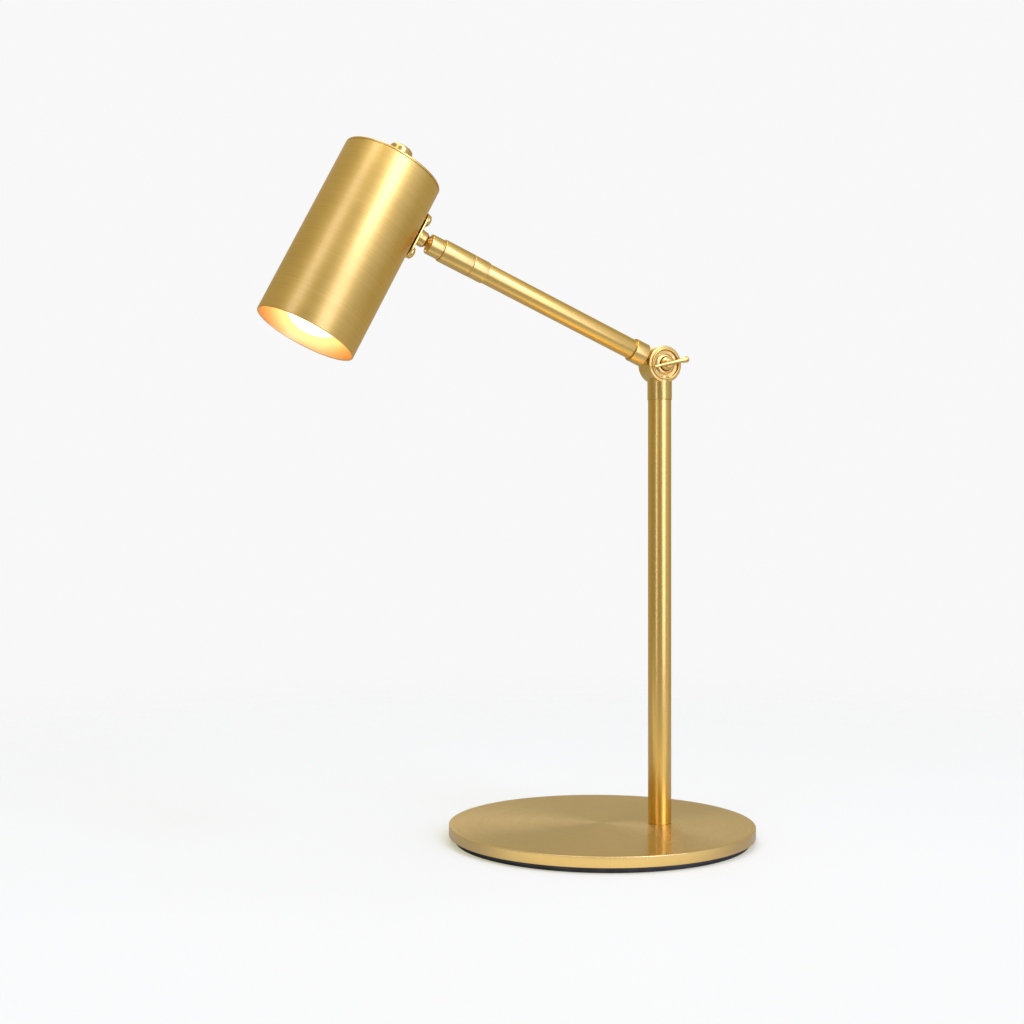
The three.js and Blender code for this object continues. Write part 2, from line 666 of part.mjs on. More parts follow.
function makeHeadLead() {
  const route = new THREE.CatmullRomCurve3([
    new THREE.Vector3(shadeDistance + 3.2, 0, 0),
    new THREE.Vector3(shadeDistance - 8, 0, 0),
    new THREE.Vector3(shadeDistance - wallInside - 3, 0, 0),
    new THREE.Vector3(21, 0, 0.6),
    new THREE.Vector3(18, 0, 5),
    new THREE.Vector3(17, 0, 14),
    new THREE.Vector3(14.8, 0, 20),
    new THREE.Vector3(13.1, 0, 21.4)
  ], false, 'centripetal');
  piece(head, 'head_lead', wire(route, leadRadius, 16), leadSheath);
}

// ---------------------------------------------------------------- switch

function makeSwitch() {
  const knob = new THREE.Group();
  head.add(knob);
  const top = shadeTop + 13;
  const radius = 6.75;
  const cover = turned([
    [0, top - 1.6], [1.7, top - 1.6], [1.7, shadeTop + 4.8], [radius - 0.5, shadeTop + 4.8],
    [radius, shadeTop + 5.3], [radius, top - 3.2], [radius - 0.6, top - 1.6],
    [radius - 2, top - 0.6], [radius - 4, top - 0.1], [0, top]
  ], 22);
  const screwHole = ring(0, 0.9, 1, 8, 12).rotateY(Math.PI / 2).translate(0, 0, shadeTop + 7);
  piece(knob, 'switch_knob', cut(cover, screwHole), brushedBrass);
  const spindle = ring(0, 1.6, 9.6, top - 1.8, 20);
  piece(knob, 'switch_spindle', spindle, nickel);
  const grub = ring(0, 0.8, 1.75, 5.8, 10).rotateY(Math.PI / 2).translate(0, 0, shadeTop + 7);
  piece(knob, 'knob_grub_screw', grub, zincSteel);
}

makeBase();
makePost();
makeKnuckle();
makeWingScrew();
makeArm();
makeSleeve();
makeBallStud();
makeBracket();
makeShade();
makeLampholder();
makeBulb();
makeHeadLead();
makeSwitch();

lamp.updateMatrixWorld(true);

export default lamp;
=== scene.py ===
import json
import math
import bmesh
import bpy
from mathutils import Matrix, Vector


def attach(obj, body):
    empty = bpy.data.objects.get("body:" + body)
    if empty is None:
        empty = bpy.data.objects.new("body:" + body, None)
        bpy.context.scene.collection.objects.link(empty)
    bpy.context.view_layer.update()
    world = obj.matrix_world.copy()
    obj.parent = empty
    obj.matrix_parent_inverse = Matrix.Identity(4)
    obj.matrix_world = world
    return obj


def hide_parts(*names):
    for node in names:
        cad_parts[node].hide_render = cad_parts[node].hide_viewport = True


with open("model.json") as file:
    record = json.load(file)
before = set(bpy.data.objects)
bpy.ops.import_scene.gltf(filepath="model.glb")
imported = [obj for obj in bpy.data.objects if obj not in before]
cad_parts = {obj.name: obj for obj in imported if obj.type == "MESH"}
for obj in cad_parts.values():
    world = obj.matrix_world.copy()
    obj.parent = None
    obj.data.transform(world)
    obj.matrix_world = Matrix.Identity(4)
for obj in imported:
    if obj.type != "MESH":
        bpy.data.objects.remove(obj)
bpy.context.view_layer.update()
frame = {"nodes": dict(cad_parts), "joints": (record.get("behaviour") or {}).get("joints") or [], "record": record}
mm = 0.001
gap = 0.06  # in mm, left between pieces that meet
print("frame loaded:", len(frame["nodes"]), "nodes")


# places, all taken from the joints of the frame

joints = {joint["name"]: joint for joint in frame["joints"]}


def placeOf(name):
    return Vector(joints[name]["pos_m"])


def axisOf(name):
    return Vector(joints[name]["axis"]).normalized()


def axes(origin, up, side):  # local Z along up, local X as near to side as it can be
    z = up.normalized()
    x = (side - side.dot(z) * z).normalized()
    y = z.cross(x)
    turn = Matrix((x, y, z)).transposed().to_4x4()
    return Matrix.Translation(origin) @ turn


worldUp = Vector((0, 0, 1))
elbow = placeOf("elbow_tilt")
ballPoint = placeOf("head_tilt")
front = axisOf("wing_turn")
armLine = axisOf("sleeve_roll")
studLine = axisOf("shade_spin")
shadeUp = axisOf("switch_turn")
rollPoint = placeOf("sleeve_roll")
armStart = rollPoint + armLine * (elbow - rollPoint).dot(armLine)
shadeMiddle = ballPoint + studLine * (placeOf("switch_turn") - ballPoint).dot(studLine)
swingBack = front.cross(worldUp)  # level, in the plane of the arm

baseAxes = Matrix.Identity(4)
postAxes = axes(Vector((elbow.x, elbow.y, 0)), worldUp, Vector((0, 1, 0)))
stemAxes = axes(elbow, worldUp, swingBack)
drumAxes = axes(elbow, front, worldUp)
armAxes = axes(armStart, armLine, worldUp)
eyeAxes = axes(elbow, front, armLine)
ballAxes = axes(ballPoint, studLine, worldUp)
headAxes = axes(shadeMiddle, shadeUp, -studLine)
bracketAxes = axes(shadeMiddle, -studLine, shadeUp)


# mesh making

def rounded(outline, closedLoop):  # [radius, height, fillet] corners become short arcs
    count = len(outline)
    points = []
    for i, corner in enumerate(outline):
        here = Vector(corner[:2])
        fillet = corner[2] if len(corner) > 2 else 0
        atEnd = not closedLoop and i in (0, count - 1)
        if fillet == 0 or atEnd:
            points.append(here)
            continue
        before = Vector(outline[i - 1][:2]) - here
        after = Vector(outline[(i + 1) % count][:2]) - here
        half = before.angle(after) / 2
        reach = min(fillet / math.tan(half), 0.49 * before.length, 0.49 * after.length)
        start = here + before.normalized() * reach
        end = here + after.normalized() * reach
        pieces = 6
        for k in range(pieces + 1):
            t = k / pieces
            points.append((1 - t) ** 2 * start + 2 * t * (1 - t) * here + t ** 2 * end)
    return points


def newPiece(name, mesh):
    piece = bpy.data.objects.new(name, mesh)
    bpy.context.collection.objects.link(piece)
    return piece


def wrapUv(mesh, place):  # u runs round the piece's own axis, v along its outline
    back = place.inverted()
    layer = mesh.uv_layers.get("wrap") or mesh.uv_layers.new(name="wrap")
    local = [back @ vertex.co for vertex in mesh.vertices]
    for face in mesh.polygons:
        middle = back @ face.center
        mid = math.atan2(middle.y, middle.x)
        for loop in face.loop_indices:
            point = local[mesh.loops[loop].vertex_index]
            flat = math.hypot(point.x, point.y)
            angle = math.atan2(point.y, point.x) if flat > 1e-7 else mid
            angle += 2 * math.pi * round((mid - angle) / (2 * math.pi))
            layer.data[loop].uv = (angle / (2 * math.pi), (point.z + flat) * 10)


def smooth(mesh, limit=32):
    mesh.shade_smooth()
    mesh.set_sharp_from_angle(angle=math.radians(limit))


def spin(name, outline, place, sides=128, closedLoop=False):  # outline in mm, from the axis out and back
    points = rounded(outline, closedLoop)
    build = bmesh.new()
    rows = []
    for radius, height in points:
        if radius < 1e-6:
            rows.append([build.verts.new((0, 0, height * mm))])
            continue
        rows.append([build.verts.new((radius * mm * math.cos(2 * math.pi * k / sides),
                                      radius * mm * math.sin(2 * math.pi * k / sides),
                                      height * mm)) for k in range(sides)])
    pairs = list(zip(rows, rows[1:]))
    if closedLoop:
        pairs.append((rows[-1], rows[0]))
    for low, high in pairs:
        for k in range(sides):
            n = (k + 1) % sides
            if len(low) == 1 and len(high) == 1:
                break
            if len(low) == 1:
                build.faces.new((low[0], high[n], high[k]))
            elif len(high) == 1:
                build.faces.new((low[k], low[n], high[0]))
            else:
                build.faces.new((low[k], low[n], high[n], high[k]))
    bmesh.ops.remove_doubles(build, verts=build.verts, dist=1e-7)
    bmesh.ops.recalc_face_normals(build, faces=build.faces)
    mesh = bpy.data.meshes.new(name)
    build.to_mesh(mesh)
    build.free()
    mesh.transform(place)
    wrapUv(mesh, place)
    smooth(mesh)
    return newPiece(name, mesh)


def block(name, low, high, place, bevel=0):
    build = bmesh.new()
    bmesh.ops.create_cube(build, size=1)
    size = [(b - a) * mm for a, b in zip(low, high)]
    middle = [(b + a) / 2 * mm for a, b in zip(low, high)]
    bmesh.ops.scale(build, vec=size, verts=build.verts)
    bmesh.ops.translate(build, vec=middle, verts=build.verts)
    if bevel:
        bmesh.ops.bevel(build, geom=build.edges, offset=bevel * mm, segments=3, profile=0.5, affect="EDGES")
    mesh = bpy.data.meshes.new(name)
    build.to_mesh(mesh)
    build.free()
    mesh.transform(place)
    return newPiece(name, mesh)


def baked(piece, place):  # evaluates the modifiers into a plain mesh
    graph = bpy.context.evaluated_depsgraph_get()
    mesh = bpy.data.meshes.new_from_object(piece.evaluated_get(graph))
    piece.modifiers.clear()
    piece.data = mesh
    wrapUv(mesh, place)
    smooth(mesh)
    return piece


def carve(piece, place, joinWith=(), cutWith=()):  # exact booleans, one after another
    for operation, others in (("UNION", joinWith), ("DIFFERENCE", cutWith)):
        for other in others:
            step = piece.modifiers.new("carve", "BOOLEAN")
            step.operation = operation
            step.solver = "EXACT"
            step.object = other
    baked(piece, place)
    for other in (*joinWith, *cutWith):
        bpy.data.objects.remove(other)
    return piece


# geometry node trees

def newTree(name, inputs):
    tree = bpy.data.node_groups.new(name, "GeometryNodeTree")
    tree.interface.new_socket("Geometry", in_out="INPUT", socket_type="NodeSocketGeometry")
    for label, kind, value in inputs:
        socket = tree.interface.new_socket(label, in_out="INPUT", socket_type=kind)
        if value is not None:
            socket.default_value = value
    tree.interface.new_socket("Geometry", in_out="OUTPUT", socket_type="NodeSocketGeometry")
    return tree, tree.nodes.new("NodeGroupInput"), tree.nodes.new("NodeGroupOutput")


def addNode(tree, kind, **values):
    node = tree.nodes.new(kind)
    for key, value in values.items():
        setattr(node, key, value)
    return node


def math2(tree, operation, first, second):
    node = addNode(tree, "ShaderNodeMath", operation=operation)
    for socket, value in zip(node.inputs, (first, second)):
        if isinstance(value, (int, float)):
            socket.default_value = value
        else:
            tree.links.new(value, socket)
    return node.outputs[0]


def finishTree(tree, entry, leave, geometry):
    real = addNode(tree, "GeometryNodeRealizeInstances")
    paint = addNode(tree, "GeometryNodeSetMaterial")
    tree.links.new(geometry, real.inputs["Geometry"])
    tree.links.new(real.outputs[0], paint.inputs["Geometry"])
    tree.links.new(entry.outputs["Material"], paint.inputs["Material"])
    tree.links.new(paint.outputs[0], leave.inputs[0])


def tubeWallTree():  # a rounded wall section carried round a circle
    length = "NodeSocketFloat"
    tree, entry, leave = newTree("tubeWall", [
        ("Radius", length, 0.01), ("Wall", length, 0.001), ("Bottom", length, 0.0), ("Top", length, 0.1),
        ("Edge", length, 0.0003), ("Sides", "NodeSocketInt", 96), ("Material", "NodeSocketMaterial", None)])
    link = tree.links.new
    circle = addNode(tree, "GeometryNodeCurvePrimitiveCircle")
    middle = math2(tree, "SUBTRACT", entry.outputs["Radius"], math2(tree, "MULTIPLY", entry.outputs["Wall"], 0.5))
    link(middle, circle.inputs["Radius"])
    link(entry.outputs["Sides"], circle.inputs["Resolution"])
    section = addNode(tree, "GeometryNodeCurvePrimitiveQuadrilateral")
    height = math2(tree, "SUBTRACT", entry.outputs["Top"], entry.outputs["Bottom"])
    link(entry.outputs["Wall"], section.inputs["Width"])
    link(height, section.inputs["Height"])
    fillet = addNode(tree, "GeometryNodeFilletCurve", mode="POLY")
    fillet.inputs["Count"].default_value = 4
    link(section.outputs[0], fillet.inputs["Curve"])
    link(entry.outputs["Edge"], fillet.inputs["Radius"])
    sweep = addNode(tree, "GeometryNodeCurveToMesh")
    link(circle.outputs[0], sweep.inputs["Curve"])
    link(fillet.outputs[0], sweep.inputs["Profile Curve"])
    lift = addNode(tree, "ShaderNodeCombineXYZ")
    centre = math2(tree, "MULTIPLY", math2(tree, "ADD", entry.outputs["Top"], entry.outputs["Bottom"]), 0.5)
    link(centre, lift.inputs["Z"])
    move = addNode(tree, "GeometryNodeTransform")
    link(sweep.outputs[0], move.inputs["Geometry"])
    link(lift.outputs[0], move.inputs["Translation"])
    finishTree(tree, entry, leave, move.outputs[0])
    return tree


def rowTree():  # copies the incoming shape along a straight row
    tree, entry, leave = newTree("screwRow", [
        ("Count", "NodeSocketInt", 2), ("Spacing", "NodeSocketVector", (0.01, 0.0, 0.0)),
        ("Start", "NodeSocketVector", (0.0, 0.0, 0.0)), ("Material", "NodeSocketMaterial", None)])
    link = tree.links.new
    line = addNode(tree, "GeometryNodeMeshLine")
    link(entry.outputs["Count"], line.inputs["Count"])
    link(entry.outputs["Start"], line.inputs["Start Location"])
    link(entry.outputs["Spacing"], line.inputs["Offset"])
    place = addNode(tree, "GeometryNodeInstanceOnPoints")
    link(line.outputs[0], place.inputs["Points"])
    link(entry.outputs["Geometry"], place.inputs["Instance"])
    finishTree(tree, entry, leave, place.outputs[0])
    return tree


def coilTree():  # round wire wound along a straight axis
    length = "NodeSocketFloat"
    tree, entry, leave = newTree("wireCoil", [
        ("Radius", length, 0.003), ("Height", length, 0.003), ("Turns", length, 3.0),
        ("Wire", length, 0.0003), ("Material", "NodeSocketMaterial", None)])
    link = tree.links.new
    spiral = addNode(tree, "GeometryNodeCurveSpiral")
    spiral.inputs["Resolution"].default_value = 48
    link(entry.outputs["Radius"], spiral.inputs["Start Radius"])
    link(entry.outputs["Radius"], spiral.inputs["End Radius"])
    link(entry.outputs["Height"], spiral.inputs["Height"])
    link(entry.outputs["Turns"], spiral.inputs["Rotations"])
    section = addNode(tree, "GeometryNodeCurvePrimitiveCircle")
    section.inputs["Resolution"].default_value = 14
    link(entry.outputs["Wire"], section.inputs["Radius"])
    sweep = addNode(tree, "GeometryNodeCurveToMesh")
    link(spiral.outputs[0], sweep.inputs["Curve"])
    link(section.outputs[0], sweep.inputs["Profile Curve"])
    sweep.inputs["Fill Caps"].default_value = True
    finishTree(tree, entry, leave, sweep.outputs[0])
    return tree


def grow(name, tree, values, place, mesh=None):  # runs a tree once and keeps its plain mesh
    piece = newPiece(name, mesh or bpy.data.meshes.new(name + "Seed"))
    step = piece.modifiers.new("shape", "NODES")
    step.node_group = tree
    for item in tree.interface.items_tree:
        if item.in_out == "INPUT" and item.name in values:
            step[item.identifier] = values[item.name]
    graph = bpy.context.evaluated_depsgraph_get()
    made = bpy.data.meshes.new_from_object(piece.evaluated_get(graph))
    piece.modifiers.clear()
    build = bmesh.new()
    build.from_mesh(made)
    bmesh.ops.remove_doubles(build, verts=build.verts, dist=1e-7)
    bmesh.ops.recalc_face_normals(build, faces=build.faces)
    build.to_mesh(made)
    build.free()
    made.transform(place)
    piece.data = made
    made.name = name
    wrapUv(made, place)
    smooth(made)
    return piece


# shader groups used by several finishes

def newGroup(name, inputs, outputs):
    group = bpy.data.node_groups.new(name, "ShaderNodeTree")
    for label, kind, value in inputs:
        socket = group.interface.new_socket(label, in_out="INPUT", socket_type=kind)
        if value is not None:
            socket.default_value = value
    for label, kind in outputs:
        group.interface.new_socket(label, in_out="OUTPUT", socket_type=kind)
    return group, group.nodes.new("NodeGroupInput"), group.nodes.new("NodeGroupOutput")


def noise(tree, vector, scale, detail=3.0, roughness=0.55):
    node = addNode(tree, "ShaderNodeTexNoise")
    node.inputs["Scale"].default_value = scale
    node.inputs["Detail"].default_value = detail
    node.inputs["Roughness"].default_value = roughness
    tree.links.new(vector, node.inputs["Vector"])
    return node.outputs["Fac"]


def spread(tree, value, low, high, outLow, outHigh):
    node = addNode(tree, "ShaderNodeMapRange")
    tree.links.new(value, node.inputs["Value"])
    for label, number in (("From Min", low), ("From Max", high), ("To Min", outLow), ("To Max", outHigh)):
        if isinstance(number, (int, float)):
            node.inputs[label].default_value = number
        else:
            tree.links.new(number, node.inputs[label])
    return node.outputs["Result"]


def splitVector(tree, vector):  # a vector's parts, and its distance from the local Z axis
    split = addNode(tree, "ShaderNodeSeparateXYZ")
    tree.links.new(vector, split.inputs[0])
    square = math2(tree, "ADD", math2(tree, "POWER", split.outputs["X"], 2.0),
                   math2(tree, "POWER", split.outputs["Y"], 2.0))
    return split, math2(tree, "SQRT", square, 0.0)


def grainGroup():  # brushing lines round the local Z axis, or along it, in a vector in metres
    scalar = "NodeSocketFloat"
    group, entry, leave = newGroup("brushGrain", [
        ("Vector", "NodeSocketVector", None), ("Across", "NodeSocketVector", (25.0, 25.0, 9000.0))],
        [("Lines", scalar), ("Streaks", scalar)])
    stretch = addNode(group, "ShaderNodeVectorMath", operation="MULTIPLY")
    group.links.new(entry.outputs["Vector"], stretch.inputs[0])
    group.links.new(entry.outputs["Across"], stretch.inputs[1])
    fine = noise(group, stretch.outputs[0], 1.0, 4.0, 0.7)
    coarse = noise(group, stretch.outputs[0], 0.22, 2.0)
    group.links.new(fine, leave.inputs["Lines"])
    group.links.new(coarse, leave.inputs["Streaks"])
    return group


def turnedGroup():  # rings about the local Z axis of a flat face, from its own radius
    scalar = "NodeSocketFloat"
    group, entry, leave = newGroup("spunRings", [
        ("Vector", "NodeSocketVector", None), ("Pitch", scalar, 5000.0)], [("Lines", scalar), ("Streaks", scalar)])
    split, radius = splitVector(group, entry.outputs["Vector"])
    join = addNode(group, "ShaderNodeCombineXYZ")
    group.links.new(math2(group, "MULTIPLY", radius, entry.outputs["Pitch"]), join.inputs["X"])
    group.links.new(math2(group, "MULTIPLY", split.outputs["X"], 30.0), join.inputs["Y"])
    group.links.new(math2(group, "MULTIPLY", split.outputs["Y"], 30.0), join.inputs["Z"])
    group.links.new(noise(group, join.outputs[0], 1.0, 4.0, 0.7), leave.inputs["Lines"])
    group.links.new(noise(group, join.outputs[0], 0.2, 2.0), leave.inputs["Streaks"])
    return group


def handlingGroup():  # slow clouding of the lacquer, and a mask of rubbed outer edges
    scalar = "NodeSocketFloat"
    group, entry, leave = newGroup("handling", [
        ("Vector", "NodeSocketVector", None), ("Cloud Size", scalar, 60.0)], [("Clouds", scalar), ("Edges", scalar)])
    clouds = addNode(group, "ShaderNodeTexNoise")
    clouds.inputs["Detail"].default_value = 3.0
    group.links.new(entry.outputs["Vector"], clouds.inputs["Vector"])
    group.links.new(entry.outputs["Cloud Size"], clouds.inputs["Scale"])
    shape = addNode(group, "ShaderNodeNewGeometry")
    edges = spread(group, shape.outputs["Pointiness"], 0.57, 0.68, 0.0, 1.0)
    group.links.new(clouds.outputs["Fac"], leave.inputs["Clouds"])
    group.links.new(edges, leave.inputs["Edges"])
    return group


groups = {"grain": grainGroup(), "rings": turnedGroup(), "handling": handlingGroup()}


def newMaterial(name):
    material = bpy.data.materials.new(name)
    material.use_nodes = True
    tree = material.node_tree
    shader = tree.nodes["Principled BSDF"]
    return material, tree, shader


def localVector(tree, place):  # object coordinates brought into a piece's own axes
    source = addNode(tree, "ShaderNodeTexCoord")
    mapping = addNode(tree, "ShaderNodeMapping", vector_type="TEXTURE")
    mapping.inputs["Location"].default_value = place.to_translation()
    mapping.inputs["Rotation"].default_value = place.to_euler("XYZ")
    tree.links.new(source.outputs["Object"], mapping.inputs["Vector"])
    return mapping.outputs["Vector"]


def useGroup(tree, key, vector, **values):
    node = addNode(tree, "ShaderNodeGroup", node_tree=groups[key])
    tree.links.new(vector, node.inputs["Vector"])
    for label, value in values.items():
        node.inputs[label.replace("_", " ")].default_value = value
    return node


def blendColours(tree, factor, first, second):
    node = addNode(tree, "ShaderNodeMix", data_type="RGBA")
    tree.links.new(factor, node.inputs["Factor"])
    for socket, value in ((node.inputs[6], first), (node.inputs[7], second)):
        if isinstance(value, tuple):
            socket.default_value = (*value, 1.0)
        else:
            tree.links.new(value, socket)
    return node.outputs[2]


# finishes

lacquer = {"weight": 0.6, "index": 1.5, "metalEdge": (1.0, 0.82, 0.45)}
# the lining colour is a pale brass for the shade's inner wall, and in part a painted glow of the bulb on it
brassColours = {"glowLining": (0.98, 0.66, 0.33), "body": (0.82, 0.52, 0.115),
                "deep": (0.74, 0.455, 0.095), "rubbed": (0.90, 0.66, 0.26)}
turnedColours = {"body": (0.80, 0.53, 0.13), "deep": (0.70, 0.44, 0.10), "rubbed": (0.92, 0.70, 0.32)}
baseColours = {"body": (0.78, 0.53, 0.18), "deep": (0.72, 0.48, 0.15), "rubbed": (0.90, 0.68, 0.30)}


def brass(name, place, across, rings=False, roughness=0.3, spreadOf=0.1, depth=0.0, stretch=0.0,
          coatRoughness=0.16, colours=brassColours, streaks=0.6, inside=None):
    material, tree, shader = newMaterial(name)
    vector = localVector(tree, place)
    if rings:
        lines = useGroup(tree, "rings", vector, Pitch=across[2])
    else:
        lines = useGroup(tree, "grain", vector, Across=across)
    handling = useGroup(tree, "handling", vector, Cloud_Size=45.0)
    tone = math2(tree, "ADD", math2(tree, "MULTIPLY", lines.outputs["Streaks"], streaks),
                 math2(tree, "MULTIPLY", handling.outputs["Clouds"], 1.0 - streaks))
    colour = blendColours(tree, spread(tree, tone, 0.36, 0.64, 0.0, 1.0), colours["deep"], colours["body"])
    worn = blendColours(tree, handling.outputs["Edges"], colour, colours["rubbed"])
    if inside:  # if inside: # a paler, duller wall within this radius: partly a lining colour, partly painted glow from the bulb
        distance = splitVector(tree, vector)[1]
        within = spread(tree, distance, (inside + 0.1) * mm, inside * mm, 0.0, 1.0)
        worn = blendColours(tree, within, worn, colours["glowLining"])
    tree.links.new(worn, shader.inputs["Base Color"])
    shader.inputs["Metallic"].default_value = 1.0
    rough = spread(tree, lines.outputs["Lines"], 0.3, 0.7, roughness - spreadOf / 2, roughness + spreadOf / 2)
    tree.links.new(rough, shader.inputs["Roughness"])
    shader.inputs["Anisotropic"].default_value = stretch
    shader.inputs["Specular Tint"].default_value = (*lacquer["metalEdge"], 1.0)
    shader.inputs["Coat Weight"].default_value = lacquer["weight"]
    shader.inputs["Coat IOR"].default_value = lacquer["index"]
    shader.inputs["Coat Roughness"].default_value = coatRoughness
    tangent = addNode(tree, "ShaderNodeTangent", direction_type="UV_MAP", uv_map="wrap")
    tree.links.new(tangent.outputs[0], shader.inputs["Tangent"])
    if depth:
        bump = addNode(tree, "ShaderNodeBump")
        bump.inputs["Strength"].default_value = 0.3
        bump.inputs["Distance"].default_value = depth * mm
        tree.links.new(lines.outputs["Lines"], bump.inputs["Height"])
        tree.links.new(bump.outputs[0], shader.inputs["Normal"])
    return material


def plain(name, place, first, second, roughness, metallic=0.0, grainScale=900.0, depth=0.05):
    material, tree, shader = newMaterial(name)
    vector = localVector(tree, place)
    handling = useGroup(tree, "handling", vector, Cloud_Size=80.0)
    colour = blendColours(tree, spread(tree, handling.outputs["Clouds"], 0.35, 0.65, 0.0, 1.0), first, second)
    tree.links.new(colour, shader.inputs["Base Color"])
    grain = noise(tree, vector, grainScale, 3.0)
    rough = spread(tree, grain, 0.3, 0.7, roughness - 0.06, roughness + 0.06)
    tree.links.new(rough, shader.inputs["Roughness"])
    shader.inputs["Metallic"].default_value = metallic
    bump = addNode(tree, "ShaderNodeBump")
    bump.inputs["Strength"].default_value = 0.4
    bump.inputs["Distance"].default_value = depth * mm
    tree.links.new(grain, bump.inputs["Height"])
    tree.links.new(bump.outputs[0], shader.inputs["Normal"])
    return material


def glowingGlass(name, place):
    glow = {"first": (1.0, 0.83, 0.55), "second": (1.0, 0.88, 0.65), "strength": 1.7}
    material, tree, shader = newMaterial(name)
    vector = localVector(tree, place)
    handling = useGroup(tree, "handling", vector, Cloud_Size=30.0)
    warm = blendColours(tree, handling.outputs["Clouds"], glow["first"], glow["second"])
    tree.links.new(warm, shader.inputs["Base Color"])
    tree.links.new(warm, shader.inputs["Emission Color"])
    shader.inputs["Emission Strength"].default_value = glow["strength"]
    shader.inputs["Roughness"].default_value = 0.25
    return material


ringBrass = (25.0, 25.0, 4000.0)
lengthBrass = (2600.0, 2600.0, 12.0)
spunBrass = (0.0, 0.0, 5200.0)
turned = {"spreadOf": 0.05, "colours": turnedColours}
drawn = {"spreadOf": 0.06, "streaks": 0.8}
finishes = {
    "shadeBrass": brass("shadeBrass", headAxes, ringBrass, roughness=0.34, stretch=0.6, coatRoughness=0.2,
                        depth=0.003, inside=28.3),
    "headBrass": brass("headBrass", bracketAxes, ringBrass, roughness=0.26, **turned),
    "baseBrass": brass("baseBrass", baseAxes, spunBrass, rings=True, stretch=0.75, colours=baseColours,
                       coatRoughness=0.06, depth=0.002),
    "postBrass": brass("postBrass", postAxes, lengthBrass, **drawn),
    "armBrass": brass("armBrass", armAxes, lengthBrass, **drawn),
    "sleeveBrass": brass("sleeveBrass", armAxes, ringBrass, **turned),
    "drumBrass": brass("drumBrass", drumAxes, ringBrass, roughness=0.28, **turned),
    "blackIron": plain("blackIron", baseAxes, (0.012, 0.012, 0.012), (0.03, 0.029, 0.028), 0.55),
    "footRubber": plain("footRubber", baseAxes, (0.018, 0.018, 0.018), (0.04, 0.04, 0.04), 0.8),
    "zincSteel": plain("zincSteel", baseAxes, (0.55, 0.56, 0.57), (0.68, 0.68, 0.67), 0.32, 1.0),
    "phenolic": plain("phenolic", headAxes, (0.02, 0.018, 0.016), (0.045, 0.04, 0.035), 0.4),
    "nylon": plain("nylon", headAxes, (0.78, 0.76, 0.70), (0.86, 0.84, 0.79), 0.45),
    "leadSheath": plain("leadSheath", baseAxes, (0.70, 0.67, 0.60), (0.80, 0.77, 0.70), 0.5),
    "nickel": plain("nickel", headAxes, (0.66, 0.63, 0.58), (0.78, 0.75, 0.70), 0.25, 1.0),
    "opalGlass": glowingGlass("opalGlass", headAxes),
}
print("finishes made:", len(finishes))


def keep(piece, finish, body, slot, *nodes):  # paints a piece and ties it to the frame
    piece.data.materials.clear()
    piece.data.materials.append(finishes[finish])
    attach(piece, body)
    if nodes:
        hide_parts(*nodes)
    return piece


# base

base = {"radius": 92.0, "top": 9.7, "skirt": 3.5, "wall": 1.0, "edge": 0.5, "blackEdge": 90.2,
        "pad": 88.5, "padTop": 1.8, "glandHalf": 4.0, "glandTop": 8.2,
        "weightInset": 0.3, "weightTop": 5.5}


def makeBase():
    under = base["top"] - base["wall"]
    inner = base["radius"] - base["wall"]
    fine = 256
    cover = spin("baseCover", [
        [0, under], [inner, under, 0.3], [inner, base["skirt"], 0.1], [base["radius"], base["skirt"], 0.25],
        [base["radius"], base["top"], base["edge"]], [base["radius"] - 6, base["top"]], [70, base["top"]],
        [45, base["top"]], [20, base["top"]], [0, base["top"]]], baseAxes, fine)
    notch = block("notch", (-base["glandHalf"] - gap, 80, 0), (base["glandHalf"] + gap, 95, base["glandTop"] + gap),
                  baseAxes)
    keep(carve(cover, baseAxes, cutWith=[notch]), "baseBrass", "base", "brushed_brass", "base_cover")
    filled = inner - base["weightInset"]
    weight = spin("baseWeight", [
        [0, base["padTop"] + gap], [base["blackEdge"], base["padTop"] + gap, 0.4],
        [base["blackEdge"], base["skirt"] - gap, 0.15], [filled, base["skirt"] - gap],
        [filled, base["weightTop"]], [0, base["weightTop"]]], baseAxes, fine)
    keep(weight, "blackIron", "base", "cast_iron_black", "base_weight")
    pad = spin("basePad", [[0, 0], [base["pad"], 0, 0.3], [base["pad"], base["padTop"], 0.3], [0, base["padTop"]]],
               baseAxes, fine)
    keep(pad, "footRubber", "base", "foot_rubber", "base_pad")
    gland = block("cordGland", (-base["glandHalf"], 85.4, base["padTop"] + 0.2),
                  (base["glandHalf"], base["radius"], base["glandTop"]), baseAxes, 0.5)
    hole = spin("glandHole", [[0, 80], [2.7, 80], [2.7, 95], [0, 95]],
                axes(Vector((0, 0, 5 * mm)), Vector((0, 1, 0)), worldUp), 48)
    keep(carve(gland, baseAxes, cutWith=[hole]), "footRubber", "base", "foot_rubber", "cord_gland")


# post and knuckle

post = {"radius": 7.0, "wall": 1.0, "top": 264.5, "edge": 0.18}
drum = {"radius": 11.0, "front": 7.0, "back": -7.0, "split": -1.4, "cavity": 8.3, "cavityFront": 5.0,
        "lip": 1.2, "slotHalf": 3.1, "armOffset": 1.85, "clearHole": 2.62}
collar = {"radius": 7.35, "bottom": -21.04, "top": -7.5, "stem": 4.0, "stemBottom": -39.6}


def makePost(tubeWall):
    tube = grow("postTube", tubeWall, {
        "Radius": post["radius"] * mm, "Wall": post["wall"] * mm, "Bottom": (base["top"] + gap) * mm,
        "Top": post["top"] * mm, "Edge": post["edge"] * mm, "Sides": 128}, postAxes)
    keep(tube, "postBrass", "base", "brushed_brass", "post_tube")


def forwardStep(distance):  # along the drum, towards its front
    return front * distance * mm


